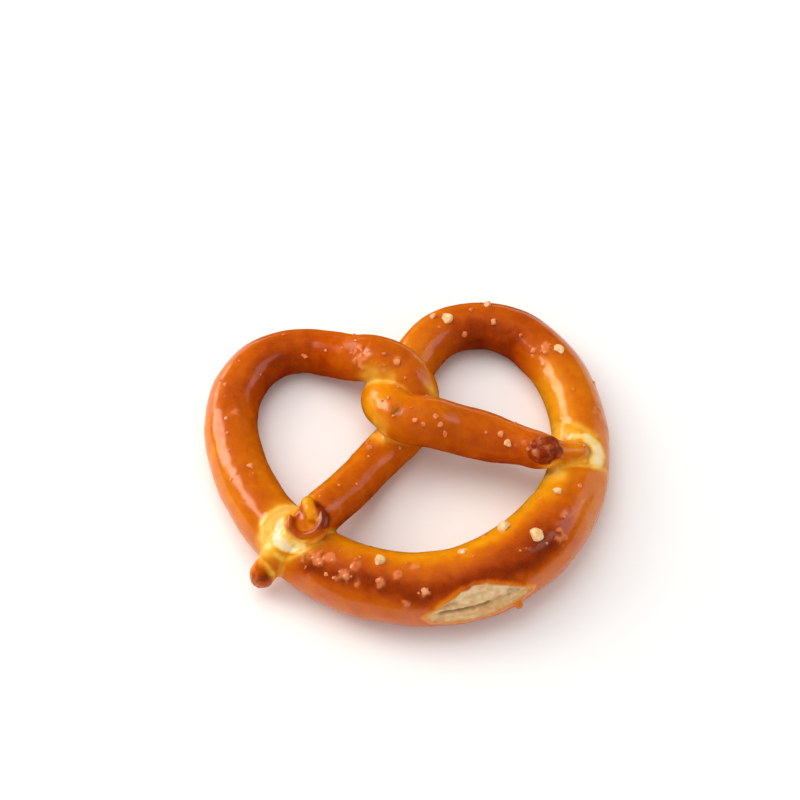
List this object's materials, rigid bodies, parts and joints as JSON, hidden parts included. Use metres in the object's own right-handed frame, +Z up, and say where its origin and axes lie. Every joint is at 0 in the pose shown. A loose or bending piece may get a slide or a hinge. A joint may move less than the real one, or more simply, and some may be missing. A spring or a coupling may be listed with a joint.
{
  "type": "pretzel",
  "caption": "Soft lye pretzel: a rope of dough knotted so that its twisted arms rest on the ring, with a thick belly, browned crust, a split and coarse salt.",
  "frame": {"origin": "middle of the pretzel's outline in plan, on the tray that it lies on", "axes": "+X across the two lobes, from the left arm's end to the right one's; +Y from the thick belly to the lobes; +Z up from the tray"},
  "size_m": [0.1503, 0.1331, 0.0317],
  "materials": {
    "crust": "browned lye crust, satin to glossy",
    "crumb": "matte bread crumb in the split",
    "salt": "coarse salt crystals, milky"
  },
  "bodies": {
    "root": {"pretzel": "crust"}
  },
  "joints": []
}
